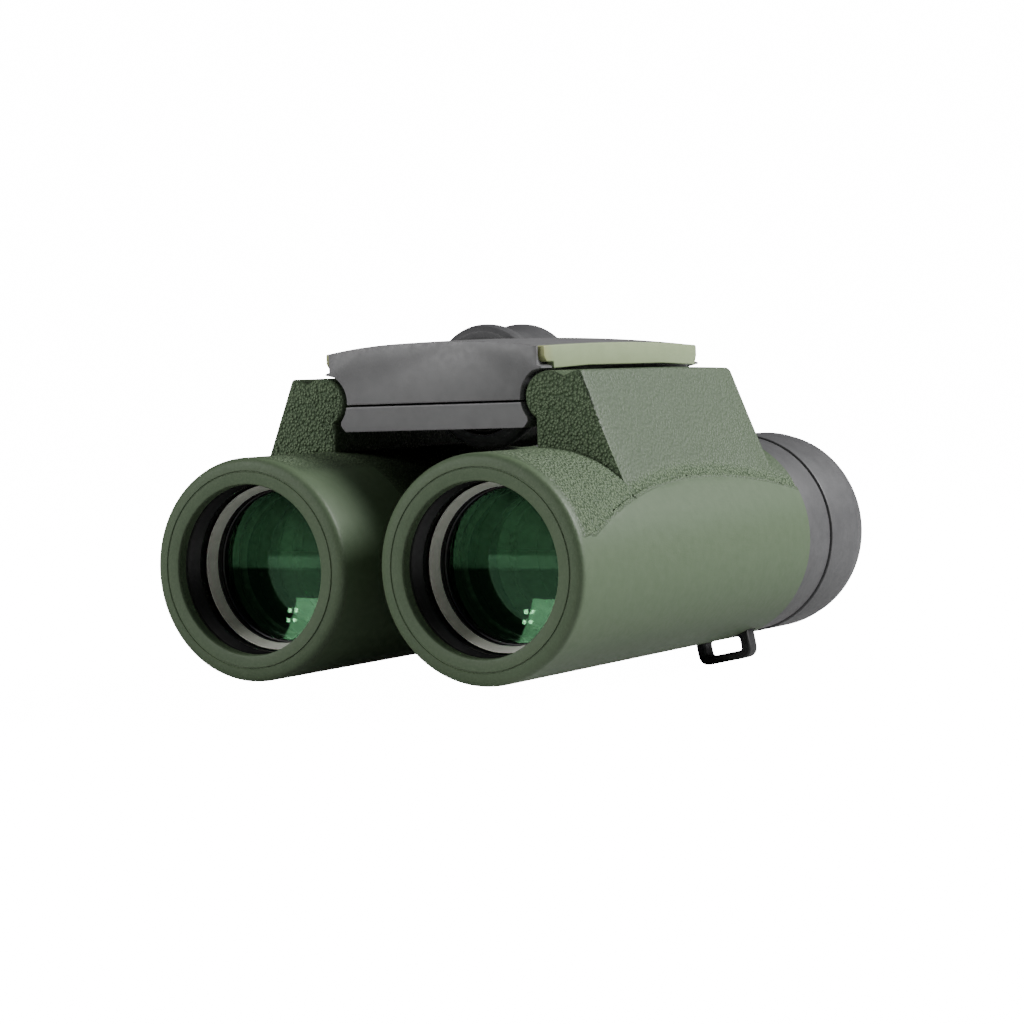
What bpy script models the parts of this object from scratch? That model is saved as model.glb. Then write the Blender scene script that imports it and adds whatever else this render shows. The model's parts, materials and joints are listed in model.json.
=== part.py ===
"""Compact double-hinge binocular, 8x25 class, folded for carrying.

Lengths are written in millimetres and become Blender's metres in place().
Every helper works in one set of measures:
  x  across the binocular, 0 on the middle plane
  y  station, measured back from the front rims along the barrels
  z  height above the barrel axes
place() then moves them to the part's frame: the stations are centred on 0, and
the lowest point, the strap lugs, stands on z = 0.
The objectives face -Y. Left and right are the user's sides, so the left barrel
is the one at +X.
"""

import math

import bpy
import bmesh
from mathutils import Vector

MM = 0.001
GAP = 0.3

# Barrels
BODY_LENGTH = 107.0
AXIS_HEIGHT = 21.5
BARREL_X = 20.7
BARREL_RADIUS = 17.5
BARREL_END = 81.6
ARMOUR_WALL = 1.2
FRONT_OPENING = 13.3
FRONT_LIP = 2.0

# Riser, the web that carries each barrel on its hinge
HINGE_HEIGHT = 25.35
KNUCKLE_RADIUS = 4.0
RISER_FRONT = 22.9
RISER_BACK = 76.0
RISER_INNER = -2.2
RISER_CORNER = 5.9
RISER_SLOPE = math.radians(21.4)
NOTCH = ((1.3, 0.0), (2.9, 1.1), (5.1, 0.0))

# Hinges
LUG_RADIUS = 3.0
POCKET_RADIUS = 3.3
POCKET = (44.3, 70.0)
FRONT_LUG = (44.6, 48.0)
REAR_LUG = (66.0, 69.7)
PIN_RADIUS = 1.6
PIN_BORE = 1.1

# Bridge
BRIDGE_FRONT = 22.6
BRIDGE_BACK = 78.0
COVER_HALF_WIDTH = 19.2
COVER_WALL = 1.4
TOP_MIDDLE = 34.5
TOP_CORNER = 33.2
CROWN = 0.42
REAR_FALL = 0.26
LIP_X = 19.9
SCALLOP_RADIUS = 4.7
SEAM_TOP = 24.9
SEAM_BOTTOM = 24.6
UNDERSIDE = 20.6
TRIM = (23.3, 77.0)
TRIM_OUTER = 20.1
SCREWS = ((-8.0, 34.8), (8.0, 34.8), (-8.0, 73.0), (8.0, 73.0))

# Focusing
WHEEL_HEIGHT = 27.1
WHEEL_RADIUS = 10.2
WHEEL = (38.6, 53.5)
CARRIAGE = (57.0, 60.6)
SPINDLE_RADIUS = 1.5
THREAD_RADIUS = 2.2

# Eyepiece end
RING = (81.9, 90.9)
RING_RADIUS = 17.0
CUP_START = 91.2
CUP_RADIUS = 17.3
SLEEVE_RADIUS = 13.6

FINE = 32
COARSE = 16
SMALL = 12
CROWN_STEPS = 8
WELD_DISTANCE = 0.00001


# ---------------------------------------------------------------- scene and materials

for old in list(bpy.data.objects):
    bpy.data.objects.remove(old, do_unlink=True)

materials = {}


def material(name, colour, roughness, metallic=0.0):
    shader = bpy.data.materials.new(name)
    shader.use_nodes = True
    principled = shader.node_tree.nodes["Principled BSDF"]
    principled.inputs["Base Color"].default_value = (*colour, 1.0)
    principled.inputs["Roughness"].default_value = roughness
    principled.inputs["Metallic"].default_value = metallic
    shader.diffuse_color = (*colour, 1.0)
    materials[name] = shader


material("green_rubber", (0.10, 0.15, 0.09), 0.6)
material("grey_shell", (0.18, 0.18, 0.19), 0.45)
material("pale_trim", (0.42, 0.50, 0.30), 0.4)
material("black_plastic", (0.02, 0.02, 0.02), 0.5)
material("dark_rubber", (0.05, 0.05, 0.055), 0.6)
material("bare_aluminium", (0.75, 0.76, 0.74), 0.3, 1.0)
material("black_aluminium", (0.03, 0.03, 0.03), 0.4, 0.8)
material("steel", (0.55, 0.55, 0.56), 0.3, 1.0)
material("coated_glass", (0.25, 0.55, 0.38), 0.05)
material("prism_glass", (0.60, 0.68, 0.66), 0.05)


# ---------------------------------------------------------------- frames and placing

frames = {}


def frame(name, x=0.0, station=BODY_LENGTH / 2, height=-AXIS_HEIGHT):
    """An empty at a body's joint, which the body's pieces hang on."""
    empty = bpy.data.objects.new(name + "_origin", None)
    empty.location = world((x, station, height))
    bpy.context.scene.collection.objects.link(empty)
    frames[name] = empty


def world(point):
    x, station, height = point
    return Vector((x, station - BODY_LENGTH / 2, height + AXIS_HEIGHT)) * MM


def place(name, shape, finish, body, sharp_angle=35.0):
    """Make a mesh object of a shape, on its body's frame."""
    parent = frames[body]
    bmesh.ops.recalc_face_normals(shape, faces=shape.faces)
    for vertex in shape.verts:
        vertex.co = world(vertex.co) - parent.location
    mesh = bpy.data.meshes.new(name)
    shape.to_mesh(mesh)
    shape.free()
    mesh.shade_smooth()
    mesh.set_sharp_from_angle(angle=math.radians(sharp_angle))
    mesh.materials.append(materials[finish])
    piece = bpy.data.objects.new(name, mesh)
    piece.parent = parent
    bpy.context.scene.collection.objects.link(piece)
    return piece


def shape_with(piece, operation, tools, body):
    """Join or cut a piece with hidden tool shapes, in the order given."""
    for number, tool in enumerate(tools, start=1):
        label = f"{piece.name}_{operation.lower()}_{number}"
        cutter = place(label, tool, "steel", body)
        cutter.hide_render = True
        cutter.display_type = "WIRE"
        boolean = piece.modifiers.new(label, "BOOLEAN")
        boolean.operation = operation
        boolean.solver = "EXACT"
        boolean.object = cutter
    weld = piece.modifiers.new("weld", "WELD")
    weld.merge_threshold = WELD_DISTANCE


def join(piece, tools, body):
    shape_with(piece, "UNION", tools, body)


def cut(piece, tools, body):
    shape_with(piece, "DIFFERENCE", tools, body)


# ---------------------------------------------------------------- shape helpers

def turned(profile, segments, x=0.0, height=0.0, closed=True):
    """Spin (radius, station) points about a line along the barrels."""
    shape = bmesh.new()
    points = [shape.verts.new((x + radius, station, height)) for radius, station in profile]
    edges = [shape.edges.new(pair) for pair in zip(points, points[1:])]
    if closed:
        edges.append(shape.edges.new((points[-1], points[0])))
    bmesh.ops.spin(
        shape, geom=points + edges, cent=(x, 0, height), axis=(0, 1, 0), dvec=(0, 0, 0),
        angle=2 * math.pi, steps=segments, use_merge=True, use_duplicate=False)
    bmesh.ops.remove_doubles(shape, verts=shape.verts, dist=0.001)
    make_caps_plain(shape)
    return shape


def make_caps_plain(shape):
    """Turn each flat cap's fan of triangles into one face."""
    hubs = []
    for vertex in shape.verts:
        spokes = [edge.other_vert(vertex).co - vertex.co for edge in vertex.link_edges]
        flat = all(abs(spoke.dot(spokes[0].cross(spokes[1]))) < 1e-6 for spoke in spokes)
        if len(spokes) > 6 and flat:
            hubs.append(vertex)
    bmesh.ops.dissolve_verts(shape, verts=hubs)


def ring(inner, outer, front, back, segments, x=0.0, height=0.0):
    corners = [(inner, front), (outer, front), (outer, back), (inner, back)]
    return turned(corners, segments, x, height)


def rod(radius, front, back, segments, x=0.0, height=0.0):
    corners = [(0, front), (radius, front), (radius, back), (0, back)]
    return turned(corners, segments, x, height, closed=False)


def extruded(outline, front, back):
    """A flat (x, z) outline given depth along the stations."""
    shape = bmesh.new()
    corners = [shape.verts.new((x, front, z)) for x, z in outline]
    face = shape.faces.new(corners)
    grown = bmesh.ops.extrude_face_region(shape, geom=[face])
    moved = [item for item in grown["geom"] if isinstance(item, bmesh.types.BMVert)]
    bmesh.ops.translate(shape, verts=moved, vec=(0, back - front, 0))
    return shape


def block(x_span, y_span, z_span):
    shape = bmesh.new()
    bmesh.ops.create_cube(shape, size=1.0)
    spans = (x_span, y_span, z_span)
    size = Vector([high - low for low, high in spans])
    centre = Vector([(high + low) / 2 for low, high in spans])
    bmesh.ops.scale(shape, vec=size, verts=shape.verts)
    bmesh.ops.translate(shape, vec=centre, verts=shape.verts)
    return shape


def arc(centre, radius, start, end, steps):
    """Points on an arc; angles in degrees, from +x towards +z."""
    points = []
    for step in range(steps + 1):
        angle = math.radians(start + (end - start) * step / steps)
        points.append((centre[0] + radius * math.cos(angle), centre[1] + radius * math.sin(angle)))
    return points


def on_side(side, outline):
    """Turn (out, up) points, measured from a barrel's axis, into (x, z)."""
    return [(side * (BARREL_X + out), up) for out, up in outline]


def lens(radius, front, back, front_bulge, back_bulge, segments, x):
    """A lens between two rim stations; a positive bulge swells outwards."""
    rings = 2
    profile = []
    for step in range(rings + 1):
        share = step / rings
        profile.append((radius * share, front - front_bulge * (1 - share ** 2)))
    for step in range(rings, -1, -1):
        share = step / rings
        profile.append((radius * share, back + back_bulge * (1 - share ** 2)))
    return turned(profile, segments, x, closed=False)


# ---------------------------------------------------------------- barrels

def riser_outline(inset):
    """Knuckle, top with its relief notch, and the sloping outer face."""
    hinge = (0.0, HINGE_HEIGHT)
    radius = KNUCKLE_RADIUS - inset
    inner = RISER_INNER + inset
    foot = 8.0
    top = HINGE_HEIGHT + radius
    meet = math.degrees(math.acos(inner / radius))
    slope = math.tan(RISER_SLOPE)
    outer_at_top = RISER_CORNER - inset / math.cos(RISER_SLOPE) + inset * slope
    outline = [(inner, foot)]
    outline += arc(hinge, radius, 360 - meet, 90, 8)
    outline += [(min(out, outer_at_top - 0.3), top - depth) for out, depth in NOTCH]
    outline.append((outer_at_top, top))
    outline.append((outer_at_top + (top - foot) * slope, foot))
    return outline


def hinge_pocket():
    """Room round the hinge axis for the lugs, open towards the bridge."""
    hinge = (0.0, HINGE_HEIGHT)
    outline = arc(hinge, 8.0, 217, 105, 2)
    outline += arc(hinge, POCKET_RADIUS, 105, -143, 10)
    return outline


def strap_lug_outline(side):
    """Loop with rounded corners, hung 11 degrees outwards of straight down."""
    half_width = 5.0
    root = 16.4
    reach = 21.3
    corner = 2.0
    outline = [(half_width, root)]
    outline += arc((half_width - corner, reach - corner), corner, 0, 90, 4)
    outline += arc((corner - half_width, reach - corner), corner, 90, 180, 4)
    outline.append((-half_width, root))
    return [strap_lug_point(side, point) for point in outline]


def strap_lug_point(side, point):
    lean = math.radians(11.0)
    across, down = point
    out = across * math.cos(lean) + down * math.sin(lean)
    up = across * math.sin(lean) - down * math.cos(lean)
    return side * (BARREL_X + out), up


def strap_lug_box(side, half_width, top, bottom):
    corners = [(-half_width, top), (half_width, top), (half_width, bottom), (-half_width, bottom)]
    return [strap_lug_point(side, corner) for corner in corners]


def make_armour(name, side, body):
    """Rubber skin over the barrel and its riser, in one moulding."""
    x = side * BARREL_X
    profile = [(0, 0), (15.8, 0), (17.0, 0.3), (BARREL_RADIUS, 1.1), (BARREL_RADIUS, BARREL_END),
               (0, BARREL_END)]
    bore = BARREL_RADIUS - ARMOUR_WALL
    inside = [(0, -1), (FRONT_OPENING, -1), (FRONT_OPENING, FRONT_LIP), (bore, FRONT_LIP),
              (bore, BARREL_END + 1), (0, BARREL_END + 1)]
    riser_inside = (RISER_FRONT + ARMOUR_WALL, RISER_BACK - ARMOUR_WALL)
    armour = place(f"{name}_armour", turned(profile, FINE, x, closed=False), "green_rubber", body)
    join(armour, [extruded(on_side(side, riser_outline(0)), RISER_FRONT, RISER_BACK)], body)
    cut(armour, [
        turned(inside, FINE, x, closed=False),
        extruded(on_side(side, riser_outline(ARMOUR_WALL)), *riser_inside),
        extruded(on_side(side, hinge_pocket()), *POCKET),
        extruded(strap_lug_box(side, 5.3, 14.0, 19.0), 74.7, 78.3),
    ], body)


def make_chassis(name, side, body):
    """Moulded body tube with the hinge core, under the armour."""
    x = side * BARREL_X
    inset = ARMOUR_WALL + GAP
    radius = BARREL_RADIUS - inset
    core = (RISER_FRONT + inset, RISER_BACK - inset)
    tube_back = BARREL_END - GAP
    bores = [(0, 0), (14.9, 0), (14.9, 19.8), (12.9, 19.8), (12.9, 38.0), (14.6, 38.0),
             (14.6, tube_back + 1), (0, tube_back + 1)]
    arm_slot = [(-1.0, 5.0)] + arc((0, HINGE_HEIGHT), 2.3, 244, -24, 8) + [(2.1, 5.0)]
    tube = rod(radius, FRONT_LIP + GAP, tube_back, FINE, x)
    chassis = place(f"{name}_chassis", tube, "black_plastic", body)
    join(chassis, [extruded(on_side(side, riser_outline(inset)), *core)], body)
    pin_bore = PIN_RADIUS + GAP
    cut(chassis, [
        turned(bores, FINE, x, closed=False),
        extruded(on_side(side, hinge_pocket()), *POCKET),
        extruded(on_side(side, arm_slot), RISER_FRONT, 33.2),
        rod(pin_bore, 30.0, 80.0, SMALL, x, HINGE_HEIGHT),
    ], body)


def make_objective(name, side, body):
    """Front cell with its doublet, a black spacer and the bright retaining ring."""
    x = side * BARREL_X
    cell = [(13.3, 2.3), (14.6, 2.3), (14.6, 19.5), (12.0, 19.5), (12.0, 18.2), (13.3, 18.2)]
    place(f"{name}_objective_cell", turned(cell, FINE, x), "black_aluminium", body)
    retainer = ring(12.4, 13.0, 6.1, 9.2, FINE, x)
    place(f"{name}_objective_retainer", retainer, "bare_aluminium", body)
    spacer = ring(11.9, 13.0, 9.5, 11.7, FINE, x)
    place(f"{name}_objective_spacer", spacer, "black_aluminium", body)
    crown = lens(13.0, 12.2, 14.4, 1.1, 1.2, COARSE, x)
    place(f"{name}_objective_crown", crown, "coated_glass", body)
    flint = lens(13.0, 14.7, 17.8, -1.2, -0.4, COARSE, x)
    place(f"{name}_objective_flint", flint, "prism_glass", body)


def make_focus_unit(name, side, body):
    """Sliding inner lens, its arm up to the hinge line, and the push rod."""
    x = side * BARREL_X
    cell = [(10.4, 24.4), (12.6, 24.4), (12.6, 32.4), (9.8, 32.4), (9.8, 31.4), (10.4, 31.4)]
    focus_cell = place(f"{name}_focus_cell", turned(cell, COARSE, x), "black_aluminium", body)
    arm = [(-0.4, 11.4)] + arc((0, HINGE_HEIGHT), 1.9, 258, -27, 8) + [(1.7, 11.4)]
    arm_span = (26.9, 29.9)
    join(focus_cell, [extruded(on_side(side, arm), *arm_span)], body)
    cut(focus_cell, [rod(0.8 + GAP, 25.0, 31.0, SMALL, x, HINGE_HEIGHT)], body)
    place(f"{name}_focus_lens", lens(10.1, 26.2, 31.1, -1.3, -1.1, COARSE, x), "prism_glass", body)
    neck, collar = 0.8, 1.9
    front_collar = (CARRIAGE[0] - 2.0, CARRIAGE[0] - GAP)
    back_collar = (CARRIAGE[1] + GAP, CARRIAGE[1] + 2.0)
    profile = [(0, 26.9), (neck, 26.9), (neck, front_collar[0]), (collar, front_collar[0]),
               (collar, front_collar[1]), (neck, front_collar[1]), (neck, back_collar[0]),
               (collar, back_collar[0]), (collar, back_collar[1]), (0, back_collar[1])]
    push_rod = turned(profile, SMALL, x, HINGE_HEIGHT, closed=False)
    place(f"{name}_focus_rod", push_rod, "steel", body)


def side_plate_prism(points, half_width, x, ridge=()):
    """A glass block: (station, height) corners at both sides, plus ridge points."""
    shape = bmesh.new()
    for station, height in points:
        for across in (-half_width, half_width):
            shape.verts.new((x + across, station, height))
    for station, height in ridge:
        shape.verts.new((x, station, height))
    bmesh.ops.convex_hull(shape, input=shape.verts)
    return shape


def make_prisms(name, side, body):
    """Roof prism pair in a cage: the half prism first, then the roof prism."""
    x = side * BARREL_X
    half_width = 6.2
    start = 43.0
    half_face = 5.5
    half_corners = [(start, half_face), (start, -half_face), (start + 15.5, -11.6),
                    (start + 15.5, half_face - 15.5)]
    place(f"{name}_half_prism", side_plate_prism(half_corners, half_width, x), "prism_glass", body)
    back = start + 17.0
    tip = half_face - (back - start) + 1.0
    roof_corners = [(back - 1.0, tip + 1.0), (back, tip + 1.0), (back, tip + 18.0),
                    (back - 12.7, tip + 12.7)]
    ridge = [(back - 2.2, tip + 23.3), (back - 14.2, tip + 18.2)]
    roof_prism = side_plate_prism(roof_corners, half_width, x, ridge)
    place(f"{name}_roof_prism", roof_prism, "prism_glass", body)
    plates = ((39.5, 41.2), (62.0, 63.6))
    cage = place(f"{name}_prism_cage", ring(5.8, 14.2, *plates[0], COARSE, x), "black_aluminium", body)
    walls = []
    for hand in (-1, 1):
        edges = sorted((x + hand * 6.6, x + hand * 8.0))
        walls.append(block(edges, (40.4, 62.8), (-11.0, 11.0)))
    join(cage, [ring(5.8, 14.2, *plates[1], COARSE, x)] + walls, body)


def make_strap_lug(name, side, body):
    lug = place(f"{name}_strap_lug", extruded(strap_lug_outline(side), 75.0, 78.0),
                "black_plastic", body)
    cut(lug, [extruded(strap_lug_box(side, 3.3, 17.5, 19.9), 74.0, 79.0)], body)


def make_eyepiece(name, side, barrel_body, lens_body, ring_name, ring_body):
    """Sleeve on the chassis, the sliding lens tube and the ring round it."""
    x = side * BARREL_X
    sleeve = [(12.4, 77.3), (14.3, 77.3), (14.3, 81.3), (SLEEVE_RADIUS, 81.3),
              (SLEEVE_RADIUS, 103.6), (12.4, 103.6)]
    place(f"{name}_eyecup_sleeve", turned(sleeve, COARSE, x), "black_aluminium", barrel_body)
    tube = [(11.0, 74.6), (12.1, 74.6), (12.1, 101.4), (9.6, 101.4), (9.6, 100.3), (11.0, 100.3)]
    place(f"{name}_eyepiece_tube", turned(tube, COARSE, x), "black_aluminium", lens_body)
    place(f"{name}_field_lens", lens(10.7, 77.0, 79.6, 0.2, 1.2, COARSE, x), "prism_glass", lens_body)
    place(f"{name}_eye_lens", lens(10.7, 94.0, 99.0, 1.3, 0.9, COARSE, x), "coated_glass", lens_body)
    outer_ring = ring(SLEEVE_RADIUS + GAP, RING_RADIUS, *RING, FINE, x)
    place(ring_name, outer_ring, "dark_rubber", ring_body)


def make_eyecup(name, side, guide_body, cup_body):
    """Twist-up eyecup on a guide ring that only slides."""
    x = side * BARREL_X
    place(f"{name}_eyecup_guide", ring(13.9, 15.1, 94.0, 97.5, COARSE, x), "black_plastic", guide_body)
    rib, groove, mouth = 14.2, 15.4, 11.7
    profile = [(rib, CUP_START), (CUP_RADIUS, CUP_START), (CUP_RADIUS, 104.9), (16.8, 106.3),
               (15.5, BODY_LENGTH), (12.6, BODY_LENGTH), (mouth, 106.1), (mouth, 104.2), (rib, 104.2),
               (rib, 97.8), (groove, 97.8), (groove, 93.7), (rib, 93.7)]
    place(f"{name}_eyecup", turned(profile, FINE, x), "dark_rubber", cup_body)


# ---------------------------------------------------------------- bridge

def top_height(x):
    """Height of the cover's front edge, arched across the bridge."""
    return TOP_MIDDLE - (TOP_MIDDLE - TOP_CORNER) * (abs(x) / COVER_HALF_WIDTH) ** 2.5


def scallop(side, radius, start_height, end_height, steps):
    """Points down the hollow side that clears a knuckle, by height."""
    points = []
    for step in range(steps + 1):
        height = start_height + (end_height - start_height) * step / steps
        drop = height - HINGE_HEIGHT
        points.append((side * (BARREL_X - math.sqrt(radius ** 2 - drop ** 2)), height))
    return points


def both_sides(right_half):
    """Close a symmetric outline from its +x half, listed top to bottom."""
    left_half = [(-x, z) for x, z in reversed(right_half)]
    return right_half + left_half


def crown_at(station):
    """Lift of the bridge's top at a station, highest in the middle and lowest at the rear."""
    middle = (BRIDGE_FRONT + BRIDGE_BACK) / 2
    half_length = (BRIDGE_BACK - BRIDGE_FRONT) / 2
    away = (station - middle) / half_length
    drop = CROWN + REAR_FALL if away > 0 else CROWN
    return CROWN - drop * away ** 2


def crowned(outline, front, back, top_above):
    """Extrude an outline and lift what lies above a height to the crown."""
    shape = extruded(outline, front, back)
    for step in range(1, CROWN_STEPS):
        station = front + (back - front) * step / CROWN_STEPS
        everything = shape.verts[:] + shape.edges[:] + shape.faces[:]
        bmesh.ops.bisect_plane(shape, geom=everything, plane_co=(0, station, 0), plane_no=(0, 1, 0))
    for vertex in shape.verts:
        if vertex.co.z > top_above:
            vertex.co.z += crown_at(vertex.co.y)
    return shape


def make_top_cover():
    """Upper shell: arched top, hollow sides, window for the wheel."""
    outside = [(x, top_height(x)) for x in (4.8, 9.6, 14.4, 17.2, COVER_HALF_WIDTH)]
    outside += [(COVER_HALF_WIDTH, 30.25), (LIP_X, 30.05), (LIP_X, 29.75)]
    outside += scallop(1, SCALLOP_RADIUS, 29.4, SEAM_TOP, 5)
    inside = [(x, top_height(x) - COVER_WALL) for x in (6.0, 12.0, 17.2)]
    inside += scallop(1, SCALLOP_RADIUS + COVER_WALL, 30.35, SEAM_TOP - 1, 4)
    shell = crowned(both_sides(outside), BRIDGE_FRONT, BRIDGE_BACK, 32.0)
    cover = place("top_cover", shell, "grey_shell", "bridge")
    hollow = (BRIDGE_FRONT + COVER_WALL, BRIDGE_BACK - COVER_WALL)
    tools = [crowned(both_sides(inside), *hollow, 30.6), wheel_window(8.5, 30.0, 40.0)]
    tools += [lug_window(side) for side in (-1, 1)]
    tools += [trim_seat(side) for side in (-1, 1)]
    cut(cover, tools, "bridge")


def wheel_window(half_width, low, high):
    room = 1.0
    return block((-half_width, half_width), (WHEEL[0] - room, WHEEL[1] + room), (low, high))


def lug_window(side):
    edges = sorted((side * 12.0, side * 18.2))
    return block(edges, (POCKET[0] - 0.3, POCKET[1] + 0.3), (22.2, 28.8))


def trim_outline(grow):
    """Side view of a trim strip: (station, height) corners."""
    front, back = TRIM[0] - grow, TRIM[1] + grow
    step = 26.4 - grow
    low, bowed, upper_low = 29.65 - grow, 30.0 - grow, 30.7 - grow
    top = [(front, 36.0), (back, 36.0)]
    bottom = [(back, 31.2), (back - 0.8, low), (64.0, bowed), (38.0, bowed), (step, low),
              (step, upper_low), (front + 0.8, upper_low), (front, 31.6)]
    return top + bottom


def side_profile(outline, x_span):
    """A (station, height) outline given thickness across the bridge."""
    shape = bmesh.new()
    corners = [shape.verts.new((x_span[0], station, height)) for station, height in outline]
    face = shape.faces.new(corners)
    grown = bmesh.ops.extrude_face_region(shape, geom=[face])
    moved = [item for item in grown["geom"] if isinstance(item, bmesh.types.BMVert)]
    bmesh.ops.translate(shape, verts=moved, vec=(x_span[1] - x_span[0], 0, 0))
    return shape


def trim_seat(side):
    return side_profile(trim_outline(GAP), sorted((side * 18.5, side * 22.0)))


def make_trim(name, side):
    """Pale strip in a seat along the cover's edge, its top on the crown."""
    front, back = TRIM
    outline = []
    for step in range(CROWN_STEPS + 1):
        station = front + (back - front) * step / CROWN_STEPS
        outline.append((station, TOP_CORNER + crown_at(station)))
    outline += trim_outline(0.0)[2:]
    strip = side_profile(outline, sorted((side * 18.8, side * TRIM_OUTER)))
    place(f"{name}_trim", strip, "pale_trim", "bridge")


def make_bottom_cover():
    """Lower shell, open round the wheel and for the lugs."""
    outside = scallop(1, SCALLOP_RADIUS, SEAM_BOTTOM, 22.3, 3)
    outside += [(17.2, 21.6), (16.4, UNDERSIDE)]
    inside = scallop(1, SCALLOP_RADIUS + COVER_WALL, SEAM_BOTTOM + 1, UNDERSIDE + COVER_WALL, 3)
    shell = extruded(both_sides(outside), BRIDGE_FRONT, BRIDGE_BACK)
    cover = place("bottom_cover", shell, "grey_shell", "bridge")
    hollow = (BRIDGE_FRONT + COVER_WALL, BRIDGE_BACK - COVER_WALL)
    tools = [extruded(both_sides(inside), *hollow), wheel_window(9.2, 18.0, 23.0)]
    tools += [lug_window(side) for side in (-1, 1)]
    tools += [screw_shape(GAP, 18.0, x, station) for x, station in SCREWS]
    cut(cover, tools, "bridge")


def upright(profile, x, station):
    """Spin (radius, height) points about an upright line, for the screws."""
    shape = bmesh.new()
    points = [shape.verts.new((x + radius, station, height)) for radius, height in profile]
    edges = [shape.edges.new(pair) for pair in zip(points, points[1:])]
    bmesh.ops.spin(
        shape, geom=points + edges, cent=(x, station, 0), axis=(0, 0, 1), dvec=(0, 0, 0),
        angle=2 * math.pi, steps=SMALL, use_merge=True, use_duplicate=False)
    bmesh.ops.remove_doubles(shape, verts=shape.verts, dist=0.001)
    make_caps_plain(shape)
    return shape


def screw_shape(grow, bottom, x, station):
    """Flat head in the lower cover, shank up into the frame."""
    head, shank = 1.7 + grow, 0.8 + grow
    shoulder = UNDERSIDE + 0.55 + grow
    tip = 26.0 + grow
    profile = [(0, bottom), (head, bottom), (head, shoulder), (shank, shoulder), (shank, tip), (0, tip)]
    return upright(profile, x, station)


def make_bridge_frame():
    """Rails, end walls with the spindle's bearings, and the hinge lugs."""
    half_width, rail = 13.8, 11.2
    front_wall, back_wall = (33.2, 36.4), (71.4, 74.6)
    base, top = 22.4, 29.8
    frame_piece = place("bridge_frame", block((-half_width, half_width), front_wall, (base, top)),
                        "black_aluminium", "bridge")
    joined = [block((-half_width, half_width), back_wall, (base, top))]
    holes = [rod(SPINDLE_RADIUS + GAP, 30.0, 38.0, SMALL, 0, WHEEL_HEIGHT),
             rod(SPINDLE_RADIUS + GAP, 70.0, 76.0, SMALL, 0, WHEEL_HEIGHT)]
    holes += [screw_shape(GAP, 18.0, x, station) for x, station in SCREWS]
    for side in (-1, 1):
        rail_x = sorted((side * rail, side * half_width))
        joined.append(block(rail_x, (34.0, 74.0), (base + 0.2, top - 0.2)))
        joined += [extruded(lug_outline(side), *span) for span in (FRONT_LUG, REAR_LUG)]
        bar_window = (HINGE_HEIGHT - 2.1, HINGE_HEIGHT + 2.1)
        travel = (CARRIAGE[0] - 3.3, CARRIAGE[1] + 3.3)
        holes.append(block(sorted((side * 10.0, side * 15.0)), travel, bar_window))
        holes.append(rod(PIN_RADIUS + GAP, 40.0, 72.0, SMALL, side * BARREL_X, HINGE_HEIGHT))
    join(frame_piece, joined, "bridge")
    cut(frame_piece, holes, "bridge")


def lug_outline(side):
    """Arm from the rail to a round end on the hinge axis."""
    half_height = 1.7
    outline = [(side * 13.0, HINGE_HEIGHT - half_height), (side * 13.0, HINGE_HEIGHT + half_height)]
    return outline + on_side(side, arc((0, HINGE_HEIGHT), LUG_RADIUS, 145, -145, 8))


def make_pins(name, side):
    """Hollow front pin, which the push rod runs through, and a solid rear pin."""
    x = side * BARREL_X
    front_pin = ring(PIN_BORE, PIN_RADIUS, 33.5, 47.8, SMALL, x, HINGE_HEIGHT)
    place(f"{name}_front_hinge_pin", front_pin, "steel", "bridge")
    rear_pin = rod(PIN_RADIUS, 66.2, 73.2, SMALL, x, HINGE_HEIGHT)
    place(f"{name}_rear_hinge_pin", rear_pin, "steel", "bridge")


def make_screws():
    for number, (x, station) in enumerate(SCREWS, start=1):
        screw = screw_shape(0.0, UNDERSIDE + 0.15, x, station)
        place(f"cover_screw_{number}", screw, "steel", "bridge")


def make_wheel():
    hub = ring(SPINDLE_RADIUS + GAP, 7.4, WHEEL[0] + GAP, WHEEL[1] - GAP, COARSE, 0, WHEEL_HEIGHT)
    place("focus_wheel_hub", hub, "black_plastic", "focus_wheel")
    front, back = WHEEL
    waist = WHEEL_RADIUS - 1.1
    profile = [(7.7, front), (9.1, front), (WHEEL_RADIUS, front + 1.1), (WHEEL_RADIUS, front + 2.6),
               (waist, front + 5.0), (waist, back - 5.0), (WHEEL_RADIUS, back - 2.2),
               (WHEEL_RADIUS, back - 0.8), (9.4, back), (7.7, back)]
    place("focus_wheel_grip", turned(profile, FINE, 0, WHEEL_HEIGHT), "dark_rubber", "focus_wheel")
    plain, thread = SPINDLE_RADIUS, THREAD_RADIUS
    spindle = [(0, 32.0), (plain, 32.0), (plain, 54.0), (thread, 54.0), (thread, 70.8), (plain, 70.8),
               (plain, 75.6), (0, 75.6)]
    place("focus_spindle", turned(spindle, SMALL, 0, WHEEL_HEIGHT, closed=False), "steel", "focus_wheel")


def make_carriage():
    """Nut on the spindle's thread with a jaw at each hinge line."""
    bar = block((-19.0, 19.0), CARRIAGE, (HINGE_HEIGHT - 1.5, HINGE_HEIGHT + 1.5))
    carriage = place("focus_carriage", bar, "black_aluminium", "focus_carriage")
    tools = [rod(4.2, *CARRIAGE, SMALL, 0, WHEEL_HEIGHT)]
    tools += [rod(2.6, *CARRIAGE, SMALL, side * BARREL_X, HINGE_HEIGHT) for side in (-1, 1)]
    join(carriage, tools, "focus_carriage")
    through = (CARRIAGE[0] - 1.0, CARRIAGE[1] + 1.0)
    slots = [rod(THREAD_RADIUS + GAP, *through, SMALL, 0, WHEEL_HEIGHT)]
    for side in (-1, 1):
        slots.append(rod(1.2, *through, SMALL, side * BARREL_X, HINGE_HEIGHT))
    cut(carriage, slots, "focus_carriage")


# ---------------------------------------------------------------- assembly

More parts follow.
